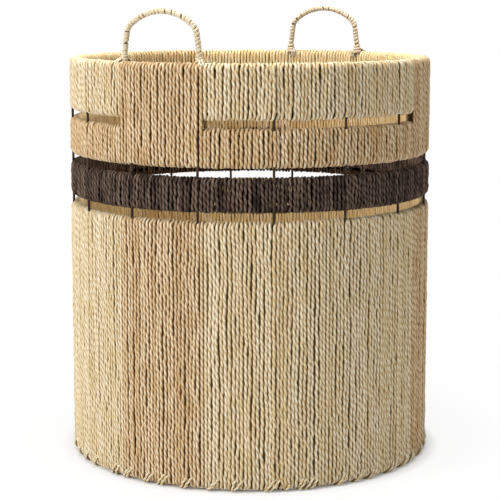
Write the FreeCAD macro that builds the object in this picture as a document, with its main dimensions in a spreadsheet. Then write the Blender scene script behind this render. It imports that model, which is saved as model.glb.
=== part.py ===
"""Round laundry hamper: a welded wire frame wound with twisted paper rope.

The frame is eight wall rings and sixteen uprights.  Rope is wound over pairs of rings, so each band of
the wall is a flat tube with an outer layer, an inner layer and a fold over each ring.  The uprights lie
outside the rings and show in slots between the strands.  Two bent-wire handles are welded inside the
rim.  The base is a wound panel on its own ring, stitched to the foot of the wall.

Angles are in degrees about +Z, counted from the front (-Y) towards +X.  Lengths are in millimetres.
"""

import FreeCAD, Part
import math
import os
import re
import Sketcher
from FreeCAD import Placement, Rotation, Vector

DIMENSIONS = (
    # overall sizes
    ("outer_radius", 220, "outside of the rope wall"),
    ("rim_height", 485, "floor to the top of the wall"),
    # bands of the wall, from the rim down, and the open gaps between them
    ("upper_band", 64, "height of the cream band at the rim"),
    ("slot_gap", 8, "open slot under the cream band"),
    ("middle_band", 45, "height of the tan band"),
    ("gap_over_dark", 9, "open gap above the dark band"),
    ("dark_band", 41, "height of the dark band"),
    ("gap_under_dark", 8.5, "open gap below the dark band"),
    # rope, cord and wire
    ("rope_thick", 4, "thickness of one layer of the wall rope"),
    ("ring_wire", 5, "wire of the rings and base bars"),
    ("upright_wire", 3, "wire of the uprights"),
    ("handle_wire", 3, "wire of the handles"),
    ("handle_cord", 1.7, "thickness of the cord on the handles"),
    ("stitch_thick", 1.6, "thickness of the cord of the base stitches"),
    ("stitch_width", 2.4, "width of that cord"),
    # clearances
    ("seat_gap", 0.1, "between a wire or cord and what it lies against"),
    ("wire_clear", 0.5, "each side of a wire in its slot"),
    ("stitch_clear", 0.3, "each side of a stitch in its hole"),
    ("joint_gap", 0.3, "between two ropes wound side by side"),
    ("base_gap", 2, "between the wall and the base panel"),
    # uprights and stitches
    ("upright_count", 16, "uprights round the frame"),
    ("first_upright", 7, "angle of the first upright"),
    ("stitch_count", 48, "stitches round the foot"),
    ("first_stitch", 11.25, "angle of the first stitch"),
    # tan panels
    ("panel_sweep", 28.5, "angle that each tan panel covers"),
    ("front_panel", -28, "centre of the panel at the front handle"),
    ("right_panel", 75.5, "centre of the panel on the right"),
    ("rear_panel", 212, "centre of the panel at the rear"),
    # base
    ("bar_pitch", 100, "distance between the base bars"),
    # handles
    ("handle_centre", -29, "angle of the front handle's middle"),
    ("handle_spread", 13.6, "angle from its middle to a leg"),
    ("handle_rise", 56, "rim to the middle of the wire at the top"),
    ("handle_leg", 31, "rim to where a leg bends into its shoulder"),
    ("handle_lean", 8, "angle that a leg leans inwards"),
    ("handle_bend", 17, "radius of the bends of the wire"),
    ("binding_thick", 0.9, "thickness of the binding at each foot"),
    ("binding_tall", 7, "height of the binding at each foot"),
)

TURN = 360
BARS = {"base_bar_left": -1, "base_bar_middle": 0, "base_bar_right": 1}
HANDLES = {"front": 0, "rear": 180}

doc = FreeCAD.newDocument("hamper")
sheet = doc.addObject("Spreadsheet::Sheet", "Dimensions")
for row, (alias, number, note) in enumerate(DIMENSIONS, start=1):
    sheet.set(f"A{row}", alias)
    sheet.set(f"B{row}", str(number))
    sheet.set(f"C{row}", note)
    sheet.setAlias(f"B{row}", alias)
doc.recompute()
NAMES = "|".join(alias for alias, _, _ in DIMENSIONS)
nodes = []


def size(text):
    """The text as an expression in brackets, with each dimension's name pointing at its cell."""
    return "(" + re.sub(rf"\b({NAMES})\b", r"Dimensions.\1", text) + ")"


def value(expression):
    """The number that an expression gives now."""
    result = sheet.evalExpression(expression)
    return float(getattr(result, "Value", result))


# --- places worked out from the driving sizes -------------------------------------------------------
WALL = size("ring_wire + 2 * seat_gap + 2 * rope_thick")
HALF_WALL = f"({WALL} / 2)"
HALF_CAVITY = size("ring_wire / 2 + seat_gap")
RING_RADIUS = f"({size('outer_radius')} - {HALF_WALL})"
INNER_RADIUS = f"({size('outer_radius')} - {WALL})"
UPRIGHT_RADIUS = f"({RING_RADIUS} + {HALF_CAVITY} + {size('upright_wire / 2')})"

UPPER_TOP = size("rim_height")
UPPER_BOTTOM = size("rim_height - upper_band")
MIDDLE_TOP = f"({UPPER_BOTTOM} - {size('slot_gap')})"
MIDDLE_BOTTOM = f"({MIDDLE_TOP} - {size('middle_band')})"
DARK_TOP = f"({MIDDLE_BOTTOM} - {size('gap_over_dark')})"
DARK_BOTTOM = f"({DARK_TOP} - {size('dark_band')})"
BODY_TOP = f"({DARK_BOTTOM} - {size('gap_under_dark')})"
FOOT = size("stitch_thick + seat_gap")

BASE_RADIUS = f"({INNER_RADIUS} - {size('base_gap')})"
BASE_RING_RADIUS = f"({BASE_RADIUS} - {HALF_WALL})"
STITCH_INSIDE = f"({BASE_RING_RADIUS} - {size('ring_wire / 2 + stitch_clear + stitch_thick')})"
STITCH_OUTSIDE = size("outer_radius + seat_gap + stitch_thick")
STITCH_LEVEL = f"({WALL} + {size('seat_gap')})"
STITCH_TOP = f"({STITCH_LEVEL} + {size('stitch_thick')})"

LEG_RADIUS = f"({RING_RADIUS} - {HALF_CAVITY} - {size('handle_wire / 2')})"
HALF_SPAN = f"({LEG_RADIUS} * sin({size('handle_spread')} * 1 deg))"
HANDLE_DEPTH = f"({LEG_RADIUS} * cos({size('handle_spread')} * 1 deg))"
LEG_END = f"({UPPER_BOTTOM} + {HALF_WALL} - {size('ring_wire / 2')})"
HANDLE_SEAT = f"({UPPER_TOP} + {size('seat_gap')})"
CORD_INSIDE = size("handle_wire / 2 + seat_gap")
CORD_OUTSIDE = f"({CORD_INSIDE} + {size('handle_cord')})"

RINGS = {
    "rim_ring": f"({UPPER_TOP} - {HALF_WALL})",
    "upper_band_lower_ring": f"({UPPER_BOTTOM} + {HALF_WALL})",
    "middle_band_upper_ring": f"({MIDDLE_TOP} - {HALF_WALL})",
    "middle_band_lower_ring": f"({MIDDLE_BOTTOM} + {HALF_WALL})",
    "dark_band_upper_ring": f"({DARK_TOP} - {HALF_WALL})",
    "dark_band_lower_ring": f"({DARK_BOTTOM} + {HALF_WALL})",
    "body_upper_ring": f"({BODY_TOP} - {HALF_WALL})",
    "foot_ring": f"({FOOT} + {HALF_WALL})",
}


# --- helpers ----------------------------------------------------------------------------------------
def node(thing, label):
    """Marks an object of the document as a finished sub-part under its label."""
    thing.Label = label
    nodes.append(thing)
    return thing


def bind(thing, **expressions):
    """Binds properties to expressions.  A double underscore in a name stands for a dot."""
    for name, expression in expressions.items():
        thing.setExpression(name.replace("__", "."), expression)
    return thing


def new_body(label, turn="0"):
    """A finished sub-part's body, turned about +Z by an expression in degrees."""
    body = doc.addObject("PartDesign::Body", label)
    body.Placement = Placement(Vector(0, 0, 0), Rotation(Vector(0, 0, 1), 1))
    bind(body, Placement__Rotation__Angle=turn)
    return node(body, label)


def origin_feature(body, role):
    """The plane or axis of a body's origin that has this role."""
    return next(f for f in body.Origin.OriginFeatures if f.Role == role)


def sketch_on(body, role, name, angle="0", offset="0"):
    """A sketch on one of the body's origin planes, turned about +Z and then moved along its normal."""
    sketch = body.newObject("Sketcher::SketchObject", f"{body.Name}_{name}")
    sketch.AttachmentSupport = (origin_feature(body, role), [""])
    sketch.MapMode = "FlatFace"
    up = Vector(0, 0, 1) if role == "XY_Plane" else Vector(0, 1, 0)
    sketch.AttachmentOffset = Placement(Vector(0, 0, 0), Rotation(up, 1))
    return bind(sketch, AttachmentOffset__Rotation__Angle=angle, AttachmentOffset__Base__z=offset)


def dimension(sketch, expression, kind, *where):
    """Adds a dimension to a sketch and binds it to an expression."""
    number = value(expression)
    index = sketch.addConstraint(Sketcher.Constraint(kind, *where, number))
    sketch.setExpression(f"Constraints[{index}]", expression)


def place_point(sketch, edge, end, across, up):
    """Holds one point of a sketch at two expressions from the sketch's origin."""
    dimension(sketch, across, "DistanceX", -1, 1, edge, end)
    dimension(sketch, up, "DistanceY", -1, 1, edge, end)


def link(sketch, kind, *pairs):
    """Joins the ends of edges, each pair given as edge, end, edge, end."""
    for pair in pairs:
        sketch.addConstraint(Sketcher.Constraint(kind, *pair))


def capsule(sketch, middle, bottom, top, half):
    """A closed outline with two straight sides and two half-round ends, between two heights."""
    across, low, high, r = (value(e) for e in (middle, bottom, top, half))
    low, high = low + r, high - r
    out = Vector(0, 0, 1)
    edges = [
        Part.ArcOfCircle(Part.Circle(Vector(across, high, 0), out, r), 0, math.pi),
        Part.LineSegment(Vector(across - r, high, 0), Vector(across - r, low, 0)),
        Part.ArcOfCircle(Part.Circle(Vector(across, low, 0), out, r), math.pi, 2 * math.pi),
        Part.LineSegment(Vector(across + r, low, 0), Vector(across + r, high, 0)),
    ]
    a, b, c, d = sketch.addGeometry(edges, False)
    link(sketch, "Tangent", (a, 2, b, 1), (b, 2, c, 1), (c, 2, d, 1), (d, 2, a, 1))
    place_point(sketch, a, 3, middle, f"({top} - {half})")
    dimension(sketch, f"({bottom} + {half})", "DistanceY", -1, 1, c, 3)
    dimension(sketch, half, "Radius", a)
    sketch.addConstraint(Sketcher.Constraint("Vertical", b))


def rectangle(sketch, left, right, bottom, top):
    """An upright rectangle held by two opposite corners."""
    x0, x1, y0, y1 = (value(e) for e in (left, right, bottom, top))
    corners = [Vector(x0, y0, 0), Vector(x1, y0, 0), Vector(x1, y1, 0), Vector(x0, y1, 0)]
    sides = sketch.addGeometry([Part.LineSegment(corners[i - 1], corners[i]) for i in range(4)], False)
    for i, side in enumerate(sides):
        link(sketch, "Coincident", (side, 2, sides[(i + 1) % 4], 1))
        sketch.addConstraint(Sketcher.Constraint("Vertical" if i % 2 == 0 else "Horizontal", side))
    place_point(sketch, sides[0], 2, left, bottom)
    place_point(sketch, sides[2], 2, right, top)


def circle(sketch, across, up, radius):
    """A circle held at its centre."""
    centre = Vector(value(across), value(up), 0)
    index = sketch.addGeometry(Part.Circle(centre, Vector(0, 0, 1), value(radius)), False)
    place_point(sketch, index, 3, across, up)
    dimension(sketch, radius, "Radius", index)


def cut_up(body, sketch, height=None):
    """A pocket upwards from a level sketch, right through or to a height."""
    pocket = body.newObject("PartDesign::Pocket", f"{sketch.Name}_cut")
    pocket.Profile = sketch
    pocket.Reversed = True
    pocket.Type = "Length" if height else "ThroughAll"
    if height:
        bind(pocket, Length=height)
    return pocket


def around(body, features, count):
    """Repeats features round the body's Z axis and makes that the body's result."""
    pattern = body.newObject("PartDesign::PolarPattern", f"{features[0].Name}_around")
    pattern.Originals = features
    pattern.Axis = (origin_feature(body, "Z_Axis"), [""])
    pattern.Angle = TURN
    bind(pattern, Occurrences=count)
    body.Tip = pattern


def from_x(angle):
    """The turn that brings the +X axis to an angle counted from the front."""
    return f"({angle} - 90)"


# --- wire frame -------------------------------------------------------------------------------------
def make_ring(name, radius, height):
    """A level wire ring."""
    torus = doc.addObject("Part::Torus", name)
    bind(torus, Radius1=radius, Radius2=size("ring_wire / 2"), Placement__Base__z=height)
    node(torus, name)


def make_uprights():
    """The straight wires that are welded to the outside of every wall ring."""
    reach = size("ring_wire / 2")
    low = f"({RINGS['foot_ring']} - {reach})"
    for k in range(round(value(size("upright_count")))):
        wire = doc.addObject("Part::Cylinder", f"upright_{k + 1:02d}")
        angle = f"({size(f'first_upright + {k} * {TURN} / upright_count')} * 1 deg)"
        bind(
            wire,
            Radius=size("upright_wire / 2"),
            Height=f"{RINGS['rim_ring']} + {reach} - {low}",
            Placement__Base__x=f"{UPRIGHT_RADIUS} * sin({angle})",
            Placement__Base__y=f"-1 * {UPRIGHT_RADIUS} * cos({angle})",
            Placement__Base__z=low,
        )
        node(wire, wire.Name)


def make_base_bars():
    """The parallel bars that cross the base ring, cut square to meet its inside."""
    inside = f"({BASE_RING_RADIUS} - {size('ring_wire / 2 + seat_gap')})"
    for name, place in BARS.items():
        edge = size(f"{abs(place)} * bar_pitch + ring_wire / 2")
        half = f"sqrt({inside} * {inside} - {edge} * {edge})"
        bar = doc.addObject("Part::Cylinder", name)
        bar.Placement = Placement(Vector(0, 0, 0), Rotation(Vector(1, 0, 0), 90))
        bind(
            bar,
            Radius=size("ring_wire / 2"),
            Height=f"2 * {half}",
            Placement__Base__x=size(f"{place} * bar_pitch"),
            Placement__Base__y=half,
            Placement__Base__z=HALF_WALL,
        )
        node(bar, name)


# --- rope wall --------------------------------------------------------------------------------------
def cut_upright_slots(body):
    """Slots in the outer layer of a band, one at each upright."""
    half = size("upright_wire / 2 + wire_clear")
    angle = from_x(size("first_upright"))
    slot = sketch_on(body, "XY_Plane", "upright_slot", angle)
    rectangle(slot, f"({RING_RADIUS} + {size('wire_clear')})", size("outer_radius + wire_clear"),
              f"(-1 * {half})", half)
    around(body, [cut_up(body, slot)], size("upright_count"))


def cut_leg_slots(body):
    """Slots in the inner layer of a band, one at each leg of the handles."""
    half = size("handle_wire / 2 + wire_clear")
    cuts = []
    for name, side in (("left", "-"), ("right", "+")):
        angle = from_x(size(f"handle_centre {side} handle_spread"))
        level = f"({LEG_END} - {size('wire_clear')})"
        slot = sketch_on(body, "XY_Plane", f"{name}_leg_slot", angle, level)
        rectangle(slot, f"({INNER_RADIUS} - {size('wire_clear')})", f"({RING_RADIUS} - {size('wire_clear')})",
                  f"(-1 * {half})", half)
        cuts.append(cut_up(body, slot))
    around(body, cuts, str(len(HANDLES)))


def cut_stitch_holes(body):
    """Holes through the wall for the stitches of the foot."""
    half = size("stitch_width / 2 + stitch_clear")
    level = f"({STITCH_LEVEL} - {size('stitch_clear')})"
    hole = sketch_on(body, "XY_Plane", "stitch_hole", from_x(size("first_stitch")), level)
    rectangle(hole, f"({INNER_RADIUS} - {size('wire_clear')})", size("outer_radius + wire_clear"),
              f"(-1 * {half})", half)
    around(body, [cut_up(body, hole, size("stitch_thick + 2 * stitch_clear"))], size("stitch_count"))


def make_band(label, bottom, top, centre="0", sweep=str(TURN), legs=False, stitched=False):
    """A band of wound rope: two layers with a fold at each edge, over an angle about its centre."""
    body = new_body(label)
    section = sketch_on(body, "XZ_Plane", "section", from_x(centre))
    rope = size("rope_thick")
    capsule(section, RING_RADIUS, bottom, top, HALF_WALL)
    capsule(section, RING_RADIUS, f"({bottom} + {rope})", f"({top} - {rope})", HALF_CAVITY)
    turn = body.newObject("PartDesign::Revolution", f"{label}_rope")
    turn.Profile = section
    turn.ReferenceAxis = (section, ["V_Axis"])
    turn.Midplane = True
    bind(turn, Angle=sweep)
    body.Tip = turn
    cut_upright_slots(body)
    if legs:
        cut_leg_slots(body)
    if stitched:
        cut_stitch_holes(body)


def make_wall():
    """Every band of the wall: tan panels at three places, and the spans between them."""
    gap = f"({size('joint_gap')} / {RING_RADIUS} * 180 / pi)"
    panels = {"front": "front_panel", "right": "right_panel", "rear": "rear_panel"}
    spans = {
        "front": ("front_panel", "right_panel", 0),
        "right": ("right_panel", "rear_panel", 0),
        "left": ("rear_panel", "front_panel", TURN),
    }
    for name, panel in panels.items():
        sweep = f"({size('panel_sweep')} - {gap})"
        make_band(f"upper_tan_panel_{name}", MIDDLE_BOTTOM, UPPER_TOP, size(panel), sweep, legs=True)
        make_band(f"body_tan_panel_{name}", FOOT, BODY_TOP, size(panel), sweep, stitched=True)
    for name, (start, end, turn) in spans.items():
        centre = size(f"({start} + {end} + {turn}) / 2")
        sweep = f"({size(f'{end} + {turn} - {start} - panel_sweep')} - {gap})"
        make_band(f"upper_cream_band_{name}", UPPER_BOTTOM, UPPER_TOP, centre, sweep, legs=True)
        make_band(f"middle_tan_band_{name}", MIDDLE_BOTTOM, MIDDLE_TOP, centre, sweep)
        make_band(f"body_cream_wall_{name}", FOOT, BODY_TOP, centre, sweep, stitched=True)
    make_band("dark_band", DARK_BOTTOM, DARK_TOP)


# --- base -------------------------------------------------------------------------------------------
def make_base_panel():
    """The flat wound panel on the base ring, with notches and holes for the stitches."""
    body = new_body("base_panel")
    section = sketch_on(body, "XZ_Plane", "section")
    rope, half, inner = (value(e) for e in (size("rope_thick"), HALF_WALL, HALF_CAVITY))
    reach = value(BASE_RING_RADIUS)
    centre = Vector(reach, half, 0)
    out = Vector(0, 0, 1)
    skin = [Vector(0, 0, 0), Vector(reach, 0, 0), Vector(reach, 2 * half, 0), Vector(0, 2 * half, 0)]
    core = [
        Vector(0, 2 * half - rope, 0),
        Vector(reach, 2 * half - rope, 0),
        Vector(reach, rope, 0),
        Vector(0, rope, 0),
    ]
    edges = [
        Part.LineSegment(skin[0], skin[1]),
        Part.ArcOfCircle(Part.Circle(centre, out, half), -math.pi / 2, math.pi / 2),
        Part.LineSegment(skin[2], skin[3]),
        Part.LineSegment(skin[3], core[0]),
        Part.LineSegment(core[0], core[1]),
        Part.ArcOfCircle(Part.Circle(centre, out, inner), -math.pi / 2, math.pi / 2),
        Part.LineSegment(core[2], core[3]),
        Part.LineSegment(core[3], skin[0]),
    ]
    floor, rim, top, axis_high, roof, bore, bed, axis_low = section.addGeometry(edges, False)
    link(section, "Tangent", (floor, 2, rim, 1), (rim, 2, top, 1), (roof, 2, bore, 2), (bore, 1, bed, 1))
    link(section, "Coincident", (top, 2, axis_high, 1), (axis_high, 2, roof, 1), (bed, 2, axis_low, 1),
         (axis_low, 2, floor, 1), (rim, 3, bore, 3))
    for edge in (axis_high, axis_low):
        section.addConstraint(Sketcher.Constraint("Vertical", edge))
    for edge in (top, roof):
        section.addConstraint(Sketcher.Constraint("Horizontal", edge))
    link(section, "Coincident", (floor, 1, -1, 1))
    section.addConstraint(Sketcher.Constraint("PointOnObject", axis_high, 1, -2))
    place_point(section, rim, 3, BASE_RING_RADIUS, HALF_WALL)
    dimension(section, HALF_WALL, "Radius", rim)
    dimension(section, HALF_CAVITY, "Radius", bore)
    turn = body.newObject("PartDesign::Revolution", "base_panel_rope")
    turn.Profile = section
    turn.ReferenceAxis = (section, ["V_Axis"])
    turn.Angle = TURN

    width = size("stitch_width / 2 + stitch_clear")
    angle = from_x(size("first_stitch"))
    inside = f"({STITCH_INSIDE} - {size('stitch_clear')})"
    hole = sketch_on(body, "XY_Plane", "stitch_hole", angle)
    rectangle(hole, inside, f"({STITCH_INSIDE} + {size('stitch_thick + stitch_clear')})", f"(-1 * {width})", width)
    notch = sketch_on(body, "XY_Plane", "stitch_notch", angle)
    rectangle(notch, inside, INNER_RADIUS, f"(-1 * {width})", width)
    around(body, [cut_up(body, hole), cut_up(body, notch, FOOT)], size("stitch_count"))


def make_stitches():
    """The stitches that tie the base ring to the foot ring: under both, and back through the wall."""
    body = new_body("base_stitches")
    loop = sketch_on(body, "XZ_Plane", "loop", from_x(size("first_stitch")))
    cord = size("stitch_thick")
    rectangle(loop, STITCH_INSIDE, STITCH_OUTSIDE, "0", STITCH_TOP)
    rectangle(loop, f"({STITCH_INSIDE} + {cord})", f"({STITCH_OUTSIDE} - {cord})", cord, STITCH_LEVEL)
    pad = body.newObject("PartDesign::Pad", "base_stitch")
    pad.Profile = loop
    pad.Midplane = True
    bind(pad, Length=size("stitch_width"))
    around(body, [pad], size("stitch_count"))


# --- handles ----------------------------------------------------------------------------------------
def draw_bow(sketch, low):
    """A handle's centre line from a height up: upright feet, legs that lean in, shoulders and an arch."""
    span, rim = value(HALF_SPAN), value(UPPER_TOP)
    bend, leg, rise, foot = (value(size(s)) for s in ("handle_bend", "handle_leg", "handle_rise", "binding_tall"))
    lean = math.radians(value(size("handle_lean")))
    across = Vector(math.cos(lean), math.sin(lean), 0)
    knee = Vector(span - bend, rim + foot, 0)
    slope_low = knee + across * bend
    slope_high = Vector(slope_low.x - (rim + leg - slope_low.y) * math.tan(lean), rim + leg, 0)
    shoulder = slope_high - across * bend
    drop = shoulder.y - rim - rise
    arch = (bend**2 - shoulder.x**2 - drop**2) / (2 * (drop + bend))
    crown = Vector(0, rim + rise - arch, 0)
    meet = math.atan2(shoulder.y - crown.y, shoulder.x)

    out = Vector(0, 0, 1)
    edges = []
    for side in (1, -1):
        centres = [Vector(side * c.x, c.y, 0) for c in (knee, shoulder)]
        spans = [(0, lean), (lean, meet)]
        if side < 0:
            spans = [(math.pi - b, math.pi - a) for a, b in spans]
        foot_line = Part.LineSegment(Vector(side * span, value(low), 0), Vector(side * span, knee.y, 0))
        slope = Part.LineSegment(Vector(side * slope_low.x, slope_low.y, 0),
                                 Vector(side * slope_high.x, slope_high.y, 0))
        bends = [Part.ArcOfCircle(Part.Circle(c, out, bend), *s) for c, s in zip(centres, spans)]
        edges += [foot_line, bends[0], slope, bends[1]]
    edges.append(Part.ArcOfCircle(Part.Circle(crown, out, arch), meet, math.pi - meet))
    index = sketch.addGeometry(edges, False)
    top = index[-1]
    peak = sketch.addGeometry(Part.Point(Vector(0, rim + rise, 0)), True)

    lean_in = size("handle_bend * (1 - cos(handle_lean * 1 deg))"
                   " + (handle_leg - binding_tall - handle_bend * sin(handle_lean * 1 deg))"
                   " * tan(handle_lean * 1 deg)")
    for side, sign, start, end in ((index[0:4], "", 1, 2), (index[4:8], "-1 * ", 2, 1)):
        line, low_bend, slope, high_bend = side
        place_point(sketch, line, 1, f"({sign}{HALF_SPAN})", low)
        sketch.addConstraint(Sketcher.Constraint("Vertical", line))
        dimension(sketch, f"({UPPER_TOP} + {size('binding_tall')})", "DistanceY", -1, 1, line, 2)
        place_point(sketch, slope, 2, f"({sign}({HALF_SPAN} - {lean_in}))", f"({UPPER_TOP} + {size('handle_leg')})")
        link(sketch, "Tangent", (line, 2, low_bend, start), (low_bend, end, slope, 1),
             (slope, 2, high_bend, start), (high_bend, end, top, start))
        for arc in (low_bend, high_bend):
            dimension(sketch, size("handle_bend"), "Radius", arc)
    sketch.addConstraint(Sketcher.Constraint("PointOnObject", peak, 1, top))
    sketch.addConstraint(Sketcher.Constraint("PointOnObject", peak, 1, -2))
    dimension(sketch, f"({UPPER_TOP} + {size('handle_rise')})", "DistanceY", -1, 1, peak, 1)


def make_bow(label, turn, low, radii):
    """A round wire, or a tube where two radii are given, along a handle's centre line."""
    body = new_body(label, turn)
    path = sketch_on(body, "XZ_Plane", "path", offset=HANDLE_DEPTH)
    draw_bow(path, low)
    section = sketch_on(body, "XY_Plane", "section", offset=low)
    for radius in radii:
        circle(section, HALF_SPAN, f"(-1 * {HANDLE_DEPTH})", radius)
    pipe = body.newObject("PartDesign::AdditivePipe", f"{label}_pipe")
    pipe.Profile = section
    pipe.Spine = path
    body.Tip = pipe


def make_handles():
    """Two handles on opposite sides: bent wire, the cord wound round it, and a binding at each foot."""
    for name, half_turn in HANDLES.items():
        turn = size(f"handle_centre + {half_turn}")
        make_bow(f"handle_wire_{name}", turn, LEG_END, [size("handle_wire / 2")])
        make_bow(f"handle_cord_{name}", turn, HANDLE_SEAT, [CORD_OUTSIDE, CORD_INSIDE])
        body = new_body(f"handle_bindings_{name}", turn)
        sleeve = sketch_on(body, "XY_Plane", "sleeves", offset=HANDLE_SEAT)
        bore = f"({CORD_OUTSIDE} + {size('seat_gap')})"
        for sign in ("", "-1 * "):
            for radius in (f"({bore} + {size('binding_thick')})", bore):
                circle(sleeve, f"({sign}{HALF_SPAN})", f"(-1 * {HANDLE_DEPTH})", radius)
        pad = body.newObject("PartDesign::Pad", f"handle_binding_{name}")
        pad.Profile = sleeve
        bind(pad, Length=size("binding_tall - seat_gap"))
        body.Tip = pad


def write_parts():
    """Checks every object and every sub-part's shape, then writes one STEP file for each sub-part."""
    doc.recompute()
    failed = [thing.Name for thing in doc.Objects if {"Invalid", "Error"} & set(thing.State)]
    broken = [thing.Label for thing in nodes if thing.Shape.isNull() or not thing.Shape.isValid()]
    if failed or broken:
        raise RuntimeError(f"failed objects: {failed}; broken shapes: {broken}")
    os.makedirs("parts", exist_ok=True)
    for thing in nodes:
        thing.Shape.exportStep(f"parts/{thing.Label}.step")
        print(f"{thing.Label}: {len(thing.Shape.Solids)} solid(s), {thing.Shape.Volume / 1000:.2f} cm3")


for ring_name, ring_height in RINGS.items():
    make_ring(ring_name, RING_RADIUS, ring_height)
make_ring("base_ring", BASE_RING_RADIUS, HALF_WALL)
make_base_bars()
make_uprights()
make_wall()
make_base_panel()
make_stitches()
make_handles()
write_parts()
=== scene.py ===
"""Looks of a round laundry hamper: paper rope wound on a wire frame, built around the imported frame.

Every band of the wall is one long rope, laid turn by turn over two rings.  Geometry Nodes lay the turns of
the wall, the parallel turns of the base, the cord on the handles and the stitches round the foot, so each
is a real twisted strand.  The wires are the frame's own pieces with a lacquer finish.

Lengths are metres unless a name says otherwise.  Angles are degrees from the front (-Y) towards +X.
"""

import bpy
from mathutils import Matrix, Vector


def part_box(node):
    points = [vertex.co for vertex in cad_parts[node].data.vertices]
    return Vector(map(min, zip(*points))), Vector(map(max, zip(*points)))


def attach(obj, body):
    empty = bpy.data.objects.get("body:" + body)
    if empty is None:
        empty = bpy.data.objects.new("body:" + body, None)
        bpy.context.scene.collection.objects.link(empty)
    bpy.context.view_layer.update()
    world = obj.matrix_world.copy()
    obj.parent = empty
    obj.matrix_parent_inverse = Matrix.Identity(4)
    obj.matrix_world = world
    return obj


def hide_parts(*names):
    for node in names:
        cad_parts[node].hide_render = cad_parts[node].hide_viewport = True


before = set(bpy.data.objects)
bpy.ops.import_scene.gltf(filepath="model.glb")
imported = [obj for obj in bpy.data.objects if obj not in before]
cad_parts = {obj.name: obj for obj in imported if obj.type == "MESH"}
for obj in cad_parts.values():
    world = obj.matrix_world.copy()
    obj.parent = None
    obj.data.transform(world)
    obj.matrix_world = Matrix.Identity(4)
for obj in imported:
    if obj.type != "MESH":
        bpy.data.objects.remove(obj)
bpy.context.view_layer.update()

import ast
import logging
import math
from dataclasses import dataclass, field
from enum import Enum
from typing import Iterable, Union

import bpy
from mathutils import Vector

log = logging.getLogger("hamper")

MM = 0.001
TURN = 2 * math.pi
SIDES = 8  # Corners of a rope's section.  One step along a rope turns the section by one corner.
ROOT = "root"
Value = Union[bpy.types.NodeSocket, float, int, tuple, bpy.types.Material]


# --- nodes --------------------------------------------------------------------------------------------
def add_node(tree: bpy.types.NodeTree, kind: str, inputs: dict | None = None, **settings) -> bpy.types.Node:
    """Adds a node with its settings and its links.

    Args:
        tree: The tree that gets the node.
        kind: The node's type name.
        inputs: Socket name or number to a value, or to an output socket to link from.
        settings: Properties of the node.

    Returns:
        The new node.
    """
    node = tree.nodes.new(kind)
    for name, value in settings.items():
        setattr(node, name, value)
    for key, value in (inputs or {}).items():
        if isinstance(value, bpy.types.NodeSocket):
            tree.links.new(value, node.inputs[key])
        else:
            node.inputs[key].default_value = value
    return node


class Formula:
    """Lays arithmetic, written as text, out as Math nodes."""

    CALLS = {
        "sin": "SINE", "cos": "COSINE", "floor": "FLOOR", "abs": "ABSOLUTE", "sqrt": "SQRT",
        "min": "MINIMUM", "max": "MAXIMUM",
    }
    SIGNS = {
        ast.Add: "ADD", ast.Sub: "SUBTRACT", ast.Mult: "MULTIPLY", ast.Div: "DIVIDE",
    }

    def __init__(self, tree: bpy.types.NodeTree, **known: Value) -> None:
        """Starts with the tree and the sockets or numbers that the text may name."""
        self.tree = tree
        self.known: dict[str, Value] = {"pi": math.pi, **known}

    def define(self, **texts: str) -> None:
        """Works out each text in turn and keeps it under its name."""
        for name, text in texts.items():
            self.known[name] = self.solve(text)

    def solve(self, text: str) -> Value:
        """The socket that gives the value of one text."""
        return self._walk(ast.parse(text.strip()).body[0].value)

    def _walk(self, part: ast.AST) -> Value:
        """The value of one part of a parsed text."""
        if isinstance(part, ast.Constant):
            return float(part.value)
        if isinstance(part, ast.Name):
            return self.known[part.id]
        if isinstance(part, ast.UnaryOp):
            operation, inner = "MULTIPLY", (part.operand, ast.Constant(-1.0))
        elif isinstance(part, ast.BinOp):
            operation, inner = self.SIGNS[type(part.op)], (part.left, part.right)
        elif part.func.id == "share":
            held = ast.Call(ast.Name("max"), [part.args[0], ast.Constant(0.0)], [])
            operation, inner = "MINIMUM", (held, ast.Constant(1.0))
        else:
            operation, inner = self.CALLS[part.func.id], part.args
        values = {place: self._walk(piece) for place, piece in enumerate(inner)}
        return add_node(self.tree, "ShaderNodeMath", values, operation=operation).outputs[0]


# --- finishes -----------------------------------------------------------------------------------------
def linear(colour: str) -> tuple[float, float, float, float]:
    """The linear colour of an sRGB hex value."""
    parts = [int(colour[i:i + 2], 16) / 255 for i in (1, 3, 5)]
    return (*(c / 12.92 if c <= 0.04045 else ((c + 0.055) / 1.055) ** 2.4 for c in parts), 1.0)


def new_material(name: str) -> tuple[bpy.types.Material, bpy.types.NodeTree, bpy.types.Node]:
    """A material with an empty shader, its tree and its Principled node."""
    material = bpy.data.materials.new(name)
    material.use_nodes = True
    tree = material.node_tree
    tree.nodes.clear()
    shader = add_node(tree, "ShaderNodeBsdfPrincipled")
    add_node(tree, "ShaderNodeOutputMaterial", {"Surface": shader.outputs[0]})
    return material, tree, shader


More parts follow.
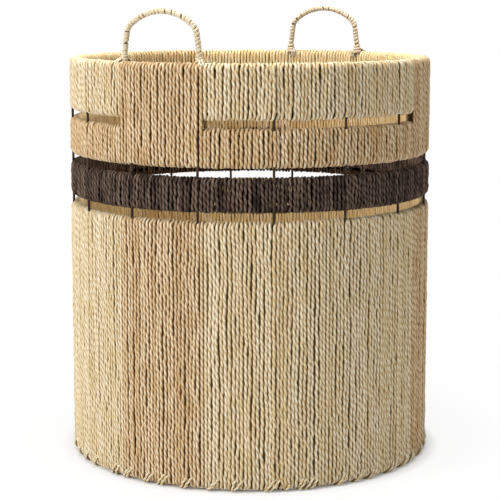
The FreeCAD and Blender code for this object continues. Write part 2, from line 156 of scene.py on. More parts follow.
@dataclass(frozen=True)
class PaperRope:
    """Twisted kraft paper rope: strips of soft matte paper spun into plies, two plies laid together.

    It gives the eye a dry, fibrous surface with pale crests, and strands that differ a little in tone
    because each length was cut from another strip.  Shade is painted in: warm on the flanks and between the
    plies, dark in the gaps where strands meet.  On the inside of the wall a paler golden colour is painted
    light.
    """

    name: str
    crest: str
    body: str
    # Painted shade colours: the first for the flanks and the grooves between plies, the second for the gaps
    # where strands meet.
    flank: str
    gap: str
    fleck: str
    flecks: float = 0.35
    gloss: float = 0.3
    fibre: float = 0.35 * MM
    # Painted light: a paler golden colour, mixed in this strongly on everything nearer the centre than
    # inner_radius (the wall's inner layer and the base). It stands in for light falling into the hamper.
    lining: float = 0.0
    inner: str = "#F7D894"
    inner_radius: float = 213 * MM
    inner_blend: float = 2 * MM

    def build(self) -> bpy.types.Material:
        """The material."""
        material, tree, shader = new_material(self.name)
        # "strand" is random for each strand. "lobe" is 1 on a ply and 0 between two. "rise" is 1 on the
        # side that faces out of the winding, 0 where a strand meets its neighbour and less behind that.
        strand = add_node(tree, "ShaderNodeAttribute", attribute_name="strand")
        lobe = add_node(tree, "ShaderNodeAttribute", attribute_name="lobe")
        rise = add_node(tree, "ShaderNodeAttribute", attribute_name="rise")
        place = add_node(tree, "ShaderNodeTexCoord").outputs["Object"]
        # Patches of paler and deeper paper, a few centimetres long.
        patch = add_node(tree, "ShaderNodeTexNoise", {"Vector": place, "Scale": 1 / (22 * MM), "Detail": 2.0})
        # Fibres: drawn at three times their real width so that they show.
        grain = add_node(tree, "ShaderNodeTexNoise",
                         {"Vector": place, "Scale": 1 / (3 * self.fibre), "Detail": 3.0})
        parts = add_node(tree, "ShaderNodeSeparateXYZ", {0: place})
        maths = Formula(tree, strand=strand.outputs["Fac"], lobe=lobe.outputs["Fac"],
                        rise=rise.outputs["Fac"], patch=patch.outputs["Fac"], grain=grain.outputs["Fac"],
                        x=parts.outputs[0], y=parts.outputs[1])
        # side and depth paint shade from the rope's shape, broken up by the fibre noise. side mixes in the
        # flank shade where the surface turns away from the outside and between plies; depth mixes in the dark
        # gap shade further in.
        maths.define(
            tone="share(0.12 + 0.62 * strand + 1.2 * (patch - 0.5) + 0.8 * (grain - 0.5))",
            side="share(1.1 - 1.15 * rise + 0.5 * (1 - lobe) + 0.6 * (grain - 0.5))",
            depth="share(0.42 - 1.2 * rise + 0.4 * (grain - 0.5))",
            spot=f"{self.flecks} * share((grain - 0.62) * 9) * share((patch + strand - 0.75) * 3)",
            # Painted light: the golden inner colour on rope surfaces inside the wall, in place of light
            # falling into the hamper.
            within=f"{self.lining} * share(({self.inner_radius} - sqrt(x * x + y * y)) / {self.inner_blend})",
        )
        # In turn: the paper's own tone, painted flank shade, painted gap shade, flecks, and painted golden
        # light on the inside of the wall.
        colour = linear(self.crest)
        layers = (("tone", self.body), ("side", self.flank), ("depth", self.gap), ("spot", self.fleck),
                  ("within", self.inner))
        for share, under in layers:
            mixed = add_node(tree, "ShaderNodeMix", {0: maths.known[share], 6: colour, 7: linear(under)},
                             data_type="RGBA")
            colour = mixed.outputs[2]
        bump = add_node(tree, "ShaderNodeBump", {"Height": grain.outputs["Fac"], "Strength": 0.5,
                                                 "Distance": 0.3 * MM})
        tree.links.new(colour, shader.inputs["Base Color"])
        tree.links.new(bump.outputs[0], shader.inputs["Normal"])
        shader.inputs["Roughness"].default_value = 0.82
        shader.inputs["Specular IOR Level"].default_value = self.gloss
        return material


@dataclass(frozen=True)
class LacqueredWire:
    """Drawn iron wire, welded and dipped in a thin bronze lacquer.

    It gives the eye a dark warm line with a soft highlight along it, a little uneven where the coat is thin.
    """

    name: str
    lacquer: str
    thin: str

    def build(self) -> bpy.types.Material:
        """The material."""
        material, tree, shader = new_material(self.name)
        place = add_node(tree, "ShaderNodeTexCoord").outputs["Object"]
        wear = add_node(tree, "ShaderNodeTexNoise", {"Vector": place, "Scale": 1 / (9 * MM), "Detail": 4.0})
        maths = Formula(tree, wear=wear.outputs["Fac"])
        maths.define(thin="share((wear - 0.5) * 5)", rough="0.38 + 0.25 * wear")
        colour = add_node(tree, "ShaderNodeMix", {0: maths.known["thin"], 6: linear(self.lacquer),
                                                  7: linear(self.thin)}, data_type="RGBA")
        tree.links.new(colour.outputs[2], shader.inputs["Base Color"])
        tree.links.new(maths.known["rough"], shader.inputs["Roughness"])
        bump = add_node(tree, "ShaderNodeBump", {"Height": wear.outputs["Fac"], "Strength": 0.2,
                                                 "Distance": 0.2 * MM})
        tree.links.new(bump.outputs[0], shader.inputs["Normal"])
        shader.inputs["Metallic"].default_value = 0.7
        return material


class Finish(Enum):
    """The finishes of the hamper, by the record's material slot."""

    CREAM = "cream_rope"
    TAN = "tan_rope"
    DARK = "dark_rope"
    HANDLE = "handle_cord"
    STITCH = "stitch_cord"
    WIRE = "frame_wire"


FINISHES: dict[Finish, Union[PaperRope, LacqueredWire]] = {
    # Rope colours in order: crest, body, painted flank shade, painted gap shade, fleck. The last number is
    # the share of painted golden light inside the wall.
    Finish.CREAM: PaperRope("cream_paper_rope", "#F4EBD4", "#DCC99C", "#B08E54", "#3E2208", "#B48A50",
                            lining=0.4),
    Finish.TAN: PaperRope("tan_paper_rope", "#EEDDBC", "#C9AA7A", "#9A6E36", "#311804", "#8A5A33",
                          lining=0.3),
    Finish.DARK: PaperRope("dark_paper_rope", "#847062", "#271913", "#080403", "#010000", "#A08C80",
                           flecks=0.15, gloss=0.06),
    Finish.HANDLE: PaperRope("handle_paper_cord", "#F6EFDC", "#EDE2C8", "#B3945F", "#46290C", "#C0A070"),
    Finish.STITCH: PaperRope("stitch_paper_cord", "#F8F0DC", "#EDDFBC", "#CDB380", "#5A4020", "#B89460"),
    Finish.WIRE: LacqueredWire("bronze_lacquered_wire", "#2E2118", "#56402C"),
}


# --- node trees that lay rope -------------------------------------------------------------------------
@dataclass
class RopeTree:
    """A Geometry Nodes tree with named inputs, which turns index arithmetic into twisted rope."""

    name: str
    sizes: dict[str, float]
    counts: dict[str, int]
    tree: bpy.types.NodeTree = field(init=False)
    maths: Formula = field(init=False)

    def __post_init__(self) -> None:
        """Makes the tree, its interface and the formula's known names."""
        self.tree = bpy.data.node_groups.new(self.name, "GeometryNodeTree")
        face = self.tree.interface
        face.new_socket("rope", in_out="OUTPUT", socket_type="NodeSocketGeometry")
        face.new_socket("route", in_out="INPUT", socket_type="NodeSocketGeometry")
        for name in self.counts:
            face.new_socket(name, in_out="INPUT", socket_type="NodeSocketInt")
        for name in self.sizes:
            face.new_socket(name, in_out="INPUT", socket_type="NodeSocketFloat")
        face.new_socket("finish", in_out="INPUT", socket_type="NodeSocketMaterial")
        self.entry = add_node(self.tree, "NodeGroupInput")
        known = {name: self.entry.outputs[name] for name in (*self.counts, *self.sizes)}
        known["index"] = add_node(self.tree, "GeometryNodeInputIndex").outputs[0]
        self.maths = Formula(self.tree, **known)

    def vector(self, x: str, y: str, z: str) -> bpy.types.NodeSocket:
        """A vector from three formulas."""
        parts = {i: self.maths.solve(text) for i, text in enumerate((x, y, z))}
        return add_node(self.tree, "ShaderNodeCombineXYZ", parts).outputs[0]

    def noise(self, x: str, y: str, z: str) -> tuple[bpy.types.NodeSocket, ...]:
        """Three smooth random values around 0.5 at a place given by three formulas."""
        cloud = add_node(self.tree, "ShaderNodeTexNoise", {"Vector": self.vector(x, y, z), "Scale": 1.0,
                                                           "Detail": 0.0})
        return tuple(add_node(self.tree, "ShaderNodeSeparateXYZ", {0: cloud.outputs["Color"]}).outputs)

    def straight(self, points: str) -> bpy.types.NodeSocket:
        """A straight curve with as many points as a formula says, for a field to move into place."""
        line = add_node(self.tree, "GeometryNodeCurvePrimitiveLine")
        rope = add_node(self.tree, "GeometryNodeResampleCurve",
                        {"Curve": line.outputs[0], "Count": self.maths.solve(points)})
        return rope.outputs[0]

    def lay(self, route: bpy.types.NodeSocket, place: bpy.types.NodeSocket, facing: bpy.types.NodeSocket,
            strand: str, twist: str, flat: bool = False) -> None:
        """Lays one rope along a curve whose points a field moves into place, and ends the tree.

        Args:
            route: The curve.
            place: The field that gives each point's position.
            facing: The direction from the thing that the rope is wound on to the rope.
            strand: Formula for the number of the strand that a point belongs to.
            twist: Formula for the turn of the section at a point.
            flat: Holds the section's broad side square to the facing direction.
        """
        tree, maths = self.tree, self.maths
        before = add_node(tree, "GeometryNodeCaptureAttribute", {"Geometry": route}, domain="POINT")
        before.capture_items.new("VECTOR", "facing")
        tree.links.new(facing, before.inputs["facing"])
        rope = add_node(tree, "GeometryNodeSetPosition", {"Geometry": before.outputs[0], "Position": place})
        here = add_node(tree, "GeometryNodeInputPosition").outputs[0]
        after = add_node(tree, "GeometryNodeCaptureAttribute", {"Geometry": rope.outputs[0]}, domain="POINT")
        after.capture_items.new("VECTOR", "core")
        tree.links.new(here, after.inputs["core"])
        rope = after
        if flat:
            rope = add_node(tree, "GeometryNodeSetCurveNormal", {"Curve": rope.outputs[0]}, mode="FREE")
            tree.links.new(before.outputs["facing"], rope.inputs["Normal"])
        rope = add_node(tree, "GeometryNodeSetCurveTilt",
                        {"Curve": rope.outputs[0], "Tilt": maths.solve(twist)})
        tone = add_node(tree, "FunctionNodeRandomValue",
                        {"ID": maths.solve(strand), "Seed": self.entry.outputs["seed"]}, data_type="FLOAT")
        rope = add_node(tree, "GeometryNodeStoreNamedAttribute",
                        {"Geometry": rope.outputs[0], "Name": "strand", "Value": tone.outputs[1]},
                        data_type="FLOAT", domain="POINT")

        ring = add_node(tree, "GeometryNodeCurvePrimitiveCircle", {"Resolution": SIDES, "Radius": 0.5})
        across = add_node(tree, "ShaderNodeSeparateXYZ", {0: here}).outputs
        section = Formula(tree, x=across[0])
        # lobe marks the plies. The paper rope finishes paint shade between them.
        ring = add_node(tree, "GeometryNodeStoreNamedAttribute",
                        {"Geometry": ring.outputs[0], "Name": "lobe", "Value": section.solve("abs(x) * 2")},
                        data_type="FLOAT", domain="POINT")
        ring = add_node(tree, "GeometryNodeTransform",
                        {"Geometry": ring.outputs[0], "Scale": self.vector("width", "depth", "1")})
        mesh = add_node(tree, "GeometryNodeCurveToMesh",
                        {"Curve": rope.outputs[0], "Profile Curve": ring.outputs[0], "Fill Caps": True})
        skin = add_node(tree, "ShaderNodeVectorMath", {0: here, 1: after.outputs["core"]},
                        operation="SUBTRACT")
        height = add_node(tree, "ShaderNodeVectorMath", {0: skin.outputs[0], 1: before.outputs["facing"]},
                          operation="DOT_PRODUCT")
        # rise is the height of a surface point over its strand's core. The paper rope finishes use it to
        # paint shade on flanks and in gaps.
        maths.known["height_out"] = height.outputs["Value"]
        crest = "height_out * 2 / depth" if flat else "height_out * 4 / (width + depth)"
        mesh = add_node(tree, "GeometryNodeStoreNamedAttribute",
                        {"Geometry": mesh.outputs[0], "Name": "rise",
                         "Value": maths.solve(crest)},
                        data_type="FLOAT", domain="POINT")
        mesh = add_node(tree, "GeometryNodeSetShadeSmooth", {"Geometry": mesh.outputs[0]})
        mesh = add_node(tree, "GeometryNodeRealizeInstances", {"Geometry": mesh.outputs[0]})
        mesh = add_node(tree, "GeometryNodeSetMaterial",
                        {"Geometry": mesh.outputs[0], "Material": self.entry.outputs["finish"]})
        add_node(tree, "NodeGroupOutput", {0: mesh.outputs[0]})

    def make(self, name: str, material: bpy.types.Material, route: Iterable[Vector] = (),
             **changes: float) -> bpy.types.Object:
        """One piece made by the tree.

        Args:
            name: The piece's name.
            material: Its finish.
            route: Points of the centre line that the rope winds round, if it has one.
            changes: Values of the tree's inputs that differ from its own.

        Returns:
            The piece, as a plain mesh at the origin.
        """
        points = list(route)
        line = bpy.data.meshes.new(f"{name}_rule")
        line.from_pydata(points, [(i, i + 1) for i in range(len(points) - 1)], [])
        holder = bpy.data.objects.new(f"{name}_rule", line)
        bpy.context.scene.collection.objects.link(holder)
        modifier = holder.modifiers.new("rule", "NODES")
        modifier.node_group = self.tree
        values = {**self.counts, **self.sizes, **changes, "finish": material}
        for item in self.tree.interface.items_tree:
            if item.in_out == "INPUT":
                if item.name == "route":
                    continue
                number = values[item.name]
                modifier[item.identifier] = int(number) if item.name in self.counts else number
        ready = holder.evaluated_get(bpy.context.evaluated_depsgraph_get())
        mesh = bpy.data.meshes.new_from_object(ready)
        bpy.data.objects.remove(holder)
        mesh.name = name
        piece = bpy.data.objects.new(name, mesh)
        bpy.context.scene.collection.objects.link(piece)
        return piece


def wall_tree() -> RopeTree:
    """The tree that winds rope over two wall rings, turn by turn, round part of the wall."""
    counts = {"strands": 1, "first": 0, "bay_strands": 19, "outer_steps": 20, "inner_steps": 12,
              "fold_steps": 6, "seed": 0}
    sizes = {"start": 0.0, "bay": 1.0, "radius": 0.2, "reach": 0.005, "bottom": 0.0, "top": 0.1,
             "width": 0.004, "depth": 0.003, "wander": 0.001, "over_wire": 0.0008}
    rope = RopeTree("wound_wall_rope", sizes, counts)
    maths = rope.maths
    maths.define(
        turn_steps="outer_steps + inner_steps + 2 * fold_steps",
        turn="floor((index + 0.5) / turn_steps)",
        step="index - turn * turn_steps",
        under="share(step / fold_steps)",
        up="share((step - fold_steps) / outer_steps)",
        over="share((step - fold_steps - outer_steps) / fold_steps)",
        down="share((step - 2 * fold_steps - outer_steps) / inner_steps)",
        outward="-cos(pi * (under + over))",
        upward="sin(pi * over) - sin(pi * under)",
        outside="(1 + outward) / 2",
        number="first + turn",
        bays="(number + 0.5 * (over + under - 1)) / bay_strands",
        level="bottom + (top - bottom) * (up - down)",
        along="bays * bay_strands * 4.5",
        loose="wander * (0.45 + 0.55 * outside)",
        free="share(min(turn, strands - 1 - turn))",
    )
    slow = rope.noise("along / 16", "level / 0.07", "seed * 3.7 + outside * 2")
    quick = rope.noise("along / 2.4", "level / 0.012", "seed * 5.1 + outside * 3")
    each = rope.noise("number * 7.31", "level / 0.3", "seed * 1.7")
    maths.known.update(slow_side=slow[0], slow_out=slow[1], quick_side=quick[0], quick_out=quick[1],
                       quick_up=quick[2], each_side=each[0], each_out=each[1], each_turn=each[2])
    maths.define(
        side="free * loose * (2.4 * (slow_side - 0.5) + 1.7 * (quick_side - 0.5) + 1.3 * (each_side - 0.5))",
        bump="share(1 - abs(bays - floor(bays + 0.5)) * bay_strands) * outside * over_wire",
        out="loose * (0.4 * (slow_out - 0.5) + 1.0 * (quick_out - 0.5) + 1.2 * (each_out - 0.5)) + bump",
        at="start + bay * bays + side / radius",
        away="radius + reach * outward + out",
        height="level + (reach + 1.4 * wander * (quick_up - 0.5)) * upward",
    )
    place = rope.vector("away * sin(at)", "-away * cos(at)", "height")
    facing = rope.vector("outward * sin(at)", "-outward * cos(at)", "upward")
    rope.lay(rope.straight("strands * turn_steps"), place, facing, "number",
             "30 * each_turn - index * pi / 4")
    return rope


def base_tree() -> RopeTree:
    """The tree that winds rope side by side across the base ring, over and under it."""
    counts = {"strands": 90, "top_steps": 62, "under_steps": 38, "fold_steps": 4, "seed": 0}
    sizes = {"radius": 0.2, "reach": 0.005, "level": 0.007, "pitch": 0.0044, "width": 0.004, "depth": 0.003,
             "wander": 0.001}
    rope = RopeTree("wound_base_rope", sizes, counts)
    maths = rope.maths
    maths.define(
        turn_steps="top_steps + under_steps + 2 * fold_steps",
        turn="floor((index + 0.5) / turn_steps)",
        step="index - turn * turn_steps",
        along="share(step / top_steps)",
        over="share((step - top_steps) / fold_steps)",
        back="share((step - top_steps - fold_steps) / under_steps)",
        under="share((step - top_steps - fold_steps - under_steps) / fold_steps)",
        across="(turn + 0.5 + back - strands / 2) * pitch",
        half="sqrt(max(radius * radius - across * across, 0))",
    )
    cloud = rope.noise("across / 0.004", "along / 0.1 + back / 0.1", "seed")
    maths.known.update(cloud_side=cloud[0], cloud_up=cloud[1])
    maths.define(
        x="across + 1.2 * wander * (cloud_side - 0.5)",
        y="half * (2 * (along - back) - 1) + reach * (sin(pi * over) - sin(pi * under))",
        z="level + reach * cos(pi * (over + under)) + 0.4 * wander * (cloud_up - 0.5) * (1 - back)",
    )
    facing = rope.vector("0", "sin(pi * over) - sin(pi * under)", "cos(pi * (over + under))")
    rope.lay(rope.straight("strands * turn_steps"), rope.vector("x", "y", "z"), facing, "turn",
             "index * pi / 4")
    return rope


def stitch_tree() -> RopeTree:
    """The tree that whips a cord round the foot, up outside and back through the wall, in pairs."""
    counts = {"pairs": 48, "steps": 32, "seed": 0}
    sizes = {"start": 0.0, "inner": 0.2, "outer": 0.21, "reach": 0.007, "level": 0.008, "twin": 0.16,
             "slant": 0.2, "width": 0.0034, "depth": 0.0024, "wander": 0.001}
    rope = RopeTree("whipped_foot_cord", sizes, counts)
    maths = rope.maths
    maths.define(turn="floor((index + 0.5) / steps)", part="index / steps - turn", phase="2 * pi * part",
                 c="cos(phase)", s="sin(phase)")
    for seat, number in (("seat", "turn"), ("next", "(turn + 1)")):
        maths.define(pair=f"floor({number} / 2 + 0.1)")
        chance = rope.noise("pair * 3.1", "seed * 2.3", "0.5")
        maths.known["chance"] = chance[0]
        maths.define(**{seat: f"pair + twin * ({number} - 2 * pair) + 1.6 * (chance - 0.5)"})
    drift = rope.noise("index / steps * 2.3", "seed * 4.1", "1.5")
    maths.known.update(drift=drift[0], lift=drift[1])
    maths.define(
        advance="seat + (next - seat) * share((part - 0.5) * 4) + slant * s + 0.25 * (drift - 0.5)",
        angle="start + 2 * pi * advance / pairs",
        flat="share(c * 8 / 2 + 0.5)",
        away="inner + (outer - inner) * flat + (reach + wander * (drift - 0.5)) * c",
        height="level + (reach + 2 * wander * (lift - 0.5) * share(s)) * s",
    )
    place = rope.vector("away * sin(angle)", "-away * cos(angle)", "height")
    facing = rope.vector("c * sin(angle)", "-c * cos(angle)", "s")
    rope.lay(rope.straight("2 * pairs * steps + 1"), place, facing, "turn", "index * pi / 4")
    return rope


def coil_tree() -> RopeTree:
    """The tree that coils a cord round a centre line."""
    counts = {"turns": 10, "steps": 12, "seed": 0}
    sizes = {"radius": 0.003, "flare": 0.0, "face_x": 0.0, "face_y": -1.0, "width": 0.0046, "depth": 0.002,
             "wander": 0.00015}
    rope = RopeTree("coiled_cord", sizes, counts)
    tree, maths = rope.tree, rope.maths
    line = add_node(tree, "GeometryNodeMeshToCurve", {"Mesh": rope.entry.outputs["route"]})
    line = add_node(tree, "GeometryNodeResampleCurve",
                    {"Curve": line.outputs[0], "Count": maths.solve("turns * steps + 1")})
    along = add_node(tree, "GeometryNodeInputTangent").outputs[0]
    face = rope.vector("face_x", "face_y", "0")
    side = add_node(tree, "ShaderNodeVectorMath", {0: along, 1: face}, operation="CROSS_PRODUCT").outputs[0]
    uneven = rope.noise("index / steps * 0.9", "seed", "0.5")
    lumps = rope.noise("index / steps * 2.7", "seed", "4.5")
    maths.known.update(uneven=uneven[0], lump=lumps[0])
    maths.define(phase="2 * pi * (index / steps + 0.9 * (uneven - 0.5))", c="cos(phase)", s="sin(phase)",
                 away="radius + flare * (1 - index / (turns * steps)) + wander * 2 * (lump - 0.5)")
    out = add_node(tree, "ShaderNodeVectorMath", {0: face, "Scale": maths.known["c"]}, operation="SCALE")
    over = add_node(tree, "ShaderNodeVectorMath", {0: side, "Scale": maths.known["s"]}, operation="SCALE")
    facing = add_node(tree, "ShaderNodeVectorMath", {0: out.outputs[0], 1: over.outputs[0]}, operation="ADD")
    step = add_node(tree, "ShaderNodeVectorMath", {0: facing.outputs[0], "Scale": maths.known["away"]},
                    operation="SCALE")
    here = add_node(tree, "GeometryNodeInputPosition").outputs[0]
    place = add_node(tree, "ShaderNodeVectorMath", {0: here, 1: step.outputs[0]}, operation="ADD")
    rope.lay(line.outputs[0], place.outputs[0], facing.outputs[0], "floor(index / steps)", "pi / 2",
             flat=True)
    return rope


def lashing_tree() -> RopeTree:
    """The tree that lashes a handle's leg to the rim: loops round the rim ring that cross at the leg."""
    counts = {"turns": 4, "steps": 24, "seed": 0}
    sizes = {"angle": 0.0, "radius": 0.21, "reach": 0.0075, "level": 0.48, "spread": 0.006, "lean": 0.0,
             "width": 0.003, "depth": 0.0022}
    rope = RopeTree("crossed_lashing", sizes, counts)
    maths = rope.maths
    maths.define(
        phase="2 * pi * index / steps",
        side="spread * cos(phase * (1 + 1 / turns)) + lean * cos(phase)",
        at="angle + side / radius",
        away="radius + reach * cos(phase)",
        height="level + reach * sin(phase)",
    )
    place = rope.vector("away * sin(at)", "-away * cos(at)", "height")
    facing = rope.vector("cos(phase) * sin(at)", "-cos(phase) * cos(at)", "sin(phase)")
    rope.lay(rope.straight("turns * steps + 1"), place, facing, "floor(index / steps)", "index * pi / 4")
    return rope


# --- sub-assemblies -----------------------------------------------------------------------------------
def node_span(name: str) -> tuple[float, float]:
    """The lowest and highest level of a frame node."""
    low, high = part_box(name)
    return low[2], high[2]


@dataclass
class RingSizes:
    """Sizes that every wound band shares, read from the frame."""

    wire: float = 0.0
    radius: float = 0.0
    layer: float = 0.0

    @classmethod
    def read(cls) -> "RingSizes":
        """The sizes of the rings and of the rope layer outside them."""
        low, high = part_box("rim_ring")
        wire = high[2] - low[2]
        radius = (high[0] - low[0]) / 2 - wire / 2
        wall_low, wall_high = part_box("dark_band")
        layer = (wall_high[0] - wall_low[0]) / 2 - radius - wire / 2
        return cls(wire, radius, layer)

    @property
    def reach(self) -> float:
        """From a ring's wire centre to the middle of the rope on it."""
        return self.wire / 2 + self.layer / 2

    @property
    def half_wall(self) -> float:
        """Half the thickness of the wall."""
        return self.wire / 2 + self.layer


def finish_piece(piece: bpy.types.Object, slot: str, *nodes: str) -> bpy.types.Object:
    """Rides a piece on the hamper and hides the frame nodes that it stands for."""
    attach(piece, ROOT)
    if nodes:
        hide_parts(*nodes)
    log.info("%s: %d faces", piece.name, len(piece.data.polygons))
    return piece


@dataclass
class Wall:
    """Every wound band of the wall."""

    rings: RingSizes
    bays: int = 16
    bay_strands: int = 19
    first_upright: float = 7.0
    panel_sweep: float = 28.5
    panels: dict[str, float] = field(default_factory=lambda: {"front": -28.0, "right": 75.5, "rear": 212.0})
    rope_width: float = 4.6 * MM
    rope_depth: float = 3.7 * MM
    lay: float = 16.0 * MM
    inner_lay: float = 42.0 * MM
    wander: float = 1.5 * MM
    fold_steps: int = 6
    most_triangles: int = 170000

    def strand_at(self, angle: float) -> int:
        """The first strand past an angle, counted from the one over the first upright."""
        return math.ceil((angle - self.first_upright) / 360 * self.bays * self.bay_strands)

    def spans(self) -> dict[str, tuple[int, int]]:
        """First and last strand of each panel and of each span between panels."""
        edges = {name: (self.strand_at(a - self.panel_sweep / 2), self.strand_at(a + self.panel_sweep / 2))
                 for name, a in self.panels.items()}
        whole = self.bays * self.bay_strands
        between = {
            "front": (edges["front"][1], edges["right"][0]),
            "right": (edges["right"][1], edges["rear"][0]),
            "left": (edges["rear"][1], edges["front"][0] + whole),
        }
        spans = {f"upper_tan_panel_{n}": e for n, e in edges.items()}
        spans |= {f"body_tan_panel_{n}": e for n, e in edges.items()}
        for band in ("upper_cream_band", "middle_tan_band", "body_cream_wall"):
            spans |= {f"{band}_{n}": e for n, e in between.items()}
        spans["dark_band"] = (0, whole)
        return spans

    def build(self, materials: dict[Finish, bpy.types.Material]) -> None:
        """Winds every band."""
        tree = wall_tree()
        for seed, (node, (first, last)) in enumerate(sorted(self.spans().items())):
            finish = Finish.TAN if "tan" in node else Finish.DARK if "dark" in node else Finish.CREAM
            low, high = node_span(node)
            low, high = low + self.rings.half_wall, high - self.rings.half_wall
            outer_steps = round((high - low) / (self.lay / SIDES))
            inner_steps = round((high - low) / (self.inner_lay / SIDES))
            steps = (last - first) * (outer_steps + inner_steps + 2 * self.fold_steps)
            parts = math.ceil(steps * 2 * SIDES / self.most_triangles)
            for part in range(parts):
                start = first + (last - first) * part // parts
                end = first + (last - first) * (part + 1) // parts
                piece = tree.make(
                    f"{node}_rope_{part + 1}", materials[finish], strands=end - start, first=start,
                    bay_strands=self.bay_strands, outer_steps=outer_steps, inner_steps=inner_steps,
                    fold_steps=self.fold_steps, seed=seed,
                    start=math.radians(self.first_upright), bay=TURN / self.bays,
                    radius=self.rings.radius, reach=self.rings.reach, bottom=low, top=high,
                    width=self.rope_width, depth=self.rope_depth, wander=self.wander,
                )
                finish_piece(piece, finish.value, node)


@dataclass
class Base:
    """The wound base panel and the stitches that hold it to the foot."""

    rings: RingSizes
    pitch: float = 4.4 * MM
    rope_width: float = 4.6 * MM
    rope_depth: float = 3.4 * MM
    stitches: int = 48
    first_stitch: float = 11.25
    cord_width: float = 3.9 * MM
    cord_depth: float = 2.7 * MM
    stitch_slack: float = 0.8 * MM

    def build(self, materials: dict[Finish, bpy.types.Material]) -> None:
        """Winds the panel and sews the stitches."""
        low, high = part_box("base_ring")
        radius = (high[0] - low[0]) / 2 - self.rings.wire / 2
        panel = base_tree().make(
            "base_panel_rope", materials[Finish.CREAM], strands=int(2 * radius / self.pitch) - 1,
            radius=radius,
            reach=self.rings.reach, level=(low[2] + high[2]) / 2, pitch=self.pitch,
            width=self.rope_width, depth=self.rope_depth, seed=31,
        )
        finish_piece(panel, Finish.CREAM.value, "base_panel")
        foot = sum(node_span("foot_ring")) / 2
        sewn = stitch_tree().make(
            "foot_stitches", materials[Finish.STITCH], pairs=self.stitches,
            start=math.radians(self.first_stitch),
            inner=radius, outer=self.rings.radius, reach=self.rings.half_wall + self.stitch_slack, level=foot,
            width=self.cord_width, depth=self.cord_depth, seed=5,
        )
        finish_piece(sewn, Finish.STITCH.value, "base_stitches")


@dataclass
class Handle:
    """One bent-wire handle's cord, with the coil and the lashing that bind each foot to the rim."""

    name: str
    centre: float
    rings: RingSizes
    wire: float = 3 * MM
    spread: float = 13.6
    lean: float = 8.0
    leg: float = 31 * MM
    foot: float = 7 * MM
    bend: float = 17 * MM
    cord_pitch: float = 4.4 * MM
    cord_width: float = 4.6 * MM
    cord_depth: float = 2.5 * MM
    cord_bite: float = 0.5 * MM
    binding_width: float = 3.8 * MM
    binding_depth: float = 2.0 * MM
    binding_slack: float = 0.5 * MM
    binding_below: float = 3 * MM
    binding_above: float = 1 * MM
    binding_flare: float = 2.2 * MM
    lashing_in: float = 2 * MM
    lashing_up: float = 3 * MM
    lashing_bite: float = 0.4 * MM
    lashing_spread: float = 2.6 * MM
    lashing_lean: float = 4.5 * MM
    arc_points: int = 14

    def centre_line(self) -> list[Vector]:
        """Points of the handle's centre line from one foot to the other, above the rim."""
        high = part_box(f"handle_wire_{self.name}")[1]
        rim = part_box("rim_ring")[1][2] + self.rings.layer
        leg_radius = self.rings.radius - self.rings.wire / 2 - self.wire / 2
        half_span = leg_radius * math.sin(math.radians(self.spread))
        depth = leg_radius * math.cos(math.radians(self.spread))
        lean = math.radians(self.lean)
        crown = high[2] - self.wire / 2
        knee = Vector((half_span - self.bend, rim + self.foot))
        slope_low = knee + self.bend * Vector((math.cos(lean), math.sin(lean)))
        rise = rim + self.leg - slope_low.y
        slope_high = slope_low + Vector((-rise * math.tan(lean), rise))
        shoulder = slope_high - self.bend * Vector((math.cos(lean), math.sin(lean)))
        drop = shoulder.y - crown
        arch = (self.bend**2 - shoulder.x**2 - drop**2) / (2 * (drop + self.bend))
        hub = Vector((0, crown - arch))
        meet = math.atan2(shoulder.y - hub.y, shoulder.x)
        side = [Vector((half_span, rim))]
        for centre, radius, start, end in ((knee, self.bend, 0, lean), (shoulder, self.bend, lean, meet),
                                           (hub, arch, meet, math.pi / 2)):
            for step in range(self.arc_points + 1):
                angle = start + (end - start) * step / self.arc_points
                side.append(centre + radius * Vector((math.cos(angle), math.sin(angle))))
        outline = [p for n, p in enumerate(side) if n == 0 or (p - side[n - 1]).length > 0.01 * MM]
        outline += [Vector((-p.x, p.y)) for p in reversed(outline[:-1])]
        turn = math.radians(self.centre)
        across = Vector((math.cos(turn), math.sin(turn), 0))
        out = Vector((math.sin(turn), -math.cos(turn), 0))
        return [across * p.x + out * depth + Vector((0, 0, p.y)) for p in outline]

    def build(self, materials: dict[Finish, bpy.types.Material], coil: RopeTree, lashing: RopeTree) -> None:
        """Winds the cord, then binds both feet."""
        line = self.centre_line()
        length = sum((b - a).length for a, b in zip(line, line[1:]))
        turn = math.radians(self.centre)
        face = {"face_x": math.sin(turn), "face_y": -math.cos(turn)}
        seed = round(self.centre) % 97
        cord = coil.make(
            f"handle_cord_{self.name}_winding", materials[Finish.HANDLE], line,
            turns=round(length / self.cord_pitch),
            radius=self.wire / 2 + self.cord_depth / 2 - self.cord_bite,
            width=self.cord_width, depth=self.cord_depth, seed=seed, **face,
        )
        finish_piece(cord, Finish.HANDLE.value, f"handle_cord_{self.name}")
        for number, (foot, sign) in enumerate(((line[0], 1), (line[-1], -1)), start=1):
            low = foot - Vector((0, 0, self.binding_below))
            top = foot + Vector((0, 0, self.foot + self.binding_above))
            wrap = coil.make(
                f"handle_binding_{self.name}_coil_{number}", materials[Finish.HANDLE], (low, top), turns=3,
                radius=self.wire / 2 + self.binding_depth / 2 + self.binding_slack, flare=self.binding_flare,
                width=self.binding_width, depth=self.binding_depth, seed=seed + number, **face,
            )
            finish_piece(wrap, Finish.HANDLE.value, f"handle_bindings_{self.name}")
            loops = lashing.make(
                f"handle_binding_{self.name}_lashing_{number}", materials[Finish.HANDLE],
                angle=turn + sign * math.radians(self.spread), radius=self.rings.radius - self.lashing_in,
                level=sum(node_span("rim_ring")) / 2 + self.lashing_up,
                reach=self.rings.half_wall - self.lashing_bite, spread=self.lashing_spread,
                lean=sign * self.lashing_lean, seed=seed + number,
            )
            finish_piece(loops, Finish.HANDLE.value, f"handle_bindings_{self.name}")


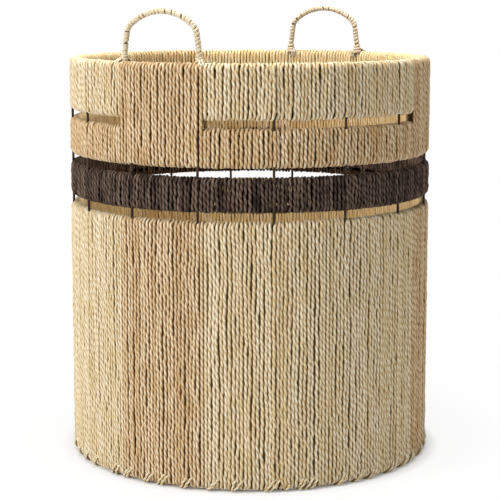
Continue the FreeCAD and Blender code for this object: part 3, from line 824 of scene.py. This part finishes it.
@dataclass
class Studio:
    """Camera, plain pale floor and soft studio light."""

    eye: tuple[float, float, float] = (0.0, -1.934, 0.559)
    pitch: float = 7.734
    lens: float = 112.88
    shift: float = -0.085
    floor_half: float = 60.0

    def build(self) -> None:
        """Makes the stage."""
        self.camera()
        self.floor()
        self.world()
        self.lamps()
        view = bpy.context.scene.view_settings
        view.view_transform = "Standard"

    def camera(self) -> None:
        """The camera, a little above the rim and looking slightly down."""
        data = bpy.data.cameras.new("camera")
        data.lens = self.lens
        data.shift_y = self.shift
        data.clip_end = 4 * self.floor_half
        camera = bpy.data.objects.new("camera", data)
        camera.location = self.eye
        camera.rotation_euler = (math.radians(90 - self.pitch), 0, 0)
        bpy.context.scene.collection.objects.link(camera)
        bpy.context.scene.camera = camera

    def floor(self) -> None:
        """A white floor that keeps the hamper's soft shadow and turns plain white further out."""
        side = self.floor_half
        mesh = bpy.data.meshes.new("floor")
        corners = [(-side, -side, 0), (side, -side, 0), (side, side, 0), (-side, side, 0)]
        mesh.from_pydata(corners, [], [(0, 1, 2, 3)])
        floor = bpy.data.objects.new("floor", mesh)
        bpy.context.scene.collection.objects.link(floor)
        material, tree, shader = new_material("matte_white_floor")
        shader.inputs["Base Color"].default_value = (0.86, 0.86, 0.86, 1)
        shader.inputs["Roughness"].default_value = 0.9
        shader.inputs["Specular IOR Level"].default_value = 0.1
        paths = add_node(tree, "ShaderNodeLightPath")
        place = add_node(tree, "ShaderNodeTexCoord").outputs["Object"]
        away = add_node(tree, "ShaderNodeVectorMath", {0: place}, operation="LENGTH").outputs["Value"]
        maths = Formula(tree, away=away, camera=paths.outputs["Is Camera Ray"],
                        glossy=paths.outputs["Is Glossy Ray"], through=paths.outputs["Is Transmission Ray"])
        maths.define(
            white="share(camera + glossy + through) * share((away - 0.208) / 0.03)"
                  " * (0.9 + 0.1 * share((away - 0.28) / 0.3))",
        )
        glow = add_node(tree, "ShaderNodeEmission", {"Color": (1, 1, 1, 1), "Strength": 1.0})
        mix = add_node(tree, "ShaderNodeMixShader", {0: maths.known["white"], 1: shader.outputs[0],
                                                     2: glow.outputs[0]})
        exit_node = next(n for n in tree.nodes if n.bl_idname == "ShaderNodeOutputMaterial")
        tree.links.new(mix.outputs[0], exit_node.inputs["Surface"])
        mesh.materials.append(material)

    def world(self) -> None:
        """White to the camera and in reflections, and a soft even light on everything else."""
        world = bpy.data.worlds.new("studio")
        world.use_nodes = True
        tree = world.node_tree
        tree.nodes.clear()
        paths = add_node(tree, "ShaderNodeLightPath")
        maths = Formula(tree, camera=paths.outputs["Is Camera Ray"], glossy=paths.outputs["Is Glossy Ray"],
                        through=paths.outputs["Is Transmission Ray"])
        strength = maths.solve("0.22 + 0.78 * share(camera + glossy + through)")
        glow = add_node(tree, "ShaderNodeBackground", {"Color": (1, 1, 1, 1), "Strength": strength})
        add_node(tree, "ShaderNodeOutputWorld", {0: glow.outputs[0]})
        bpy.context.scene.world = world

    def lamps(self) -> None:
        """A large key from the left front, a weaker fill from the right and a soft top light."""
        middle = Vector((0, 0, 0.3))
        for name, place, size, power in (
            ("key", (-2.4, -1.4, 1.4), 1.1, 50.0),
            ("fill", (2.4, -2.2, 1.0), 2.0, 6.0),
            ("over", (-0.3, -1.3, 2.5), 0.9, 14.0),
            ("top", (0.0, -0.1, 2.2), 0.7, 38.0),
        ):
            data = bpy.data.lights.new(name, "AREA")
            data.energy = power
            data.size = size
            lamp = bpy.data.objects.new(name, data)
            lamp.location = place
            lamp.rotation_euler = (middle - Vector(place)).to_track_quat("-Z", "Y").to_euler()
            bpy.context.scene.collection.objects.link(lamp)


def dress_wires(material: bpy.types.Material, names: Iterable[str]) -> None:
    """Gives the frame's own wires their lacquer."""
    for name in names:
        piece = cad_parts[name]
        piece.data.materials.clear()
        piece.data.materials.append(material)
        log.info("%s: lacquered", name)


def main() -> None:
    """Builds the hamper's looks and the stage."""
    logging.basicConfig(level=logging.INFO, format="%(message)s")
    materials = {kind: finish.build() for kind, finish in FINISHES.items()}
    rings = RingSizes.read()
    Wall(rings).build(materials)
    Base(rings).build(materials)
    coil, lashing = coil_tree(), lashing_tree()
    for name, centre in (("front", -29.0), ("rear", 151.0)):
        Handle(name, centre, rings).build(materials, coil, lashing)
    straight_wires = ("upright", "base_bar", "handle_wire")
    wires = [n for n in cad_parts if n.startswith(straight_wires) or n.endswith("_ring")]
    dress_wires(materials[Finish.WIRE], wires)
    Studio().build()


if __name__ == "__main__":
    main()
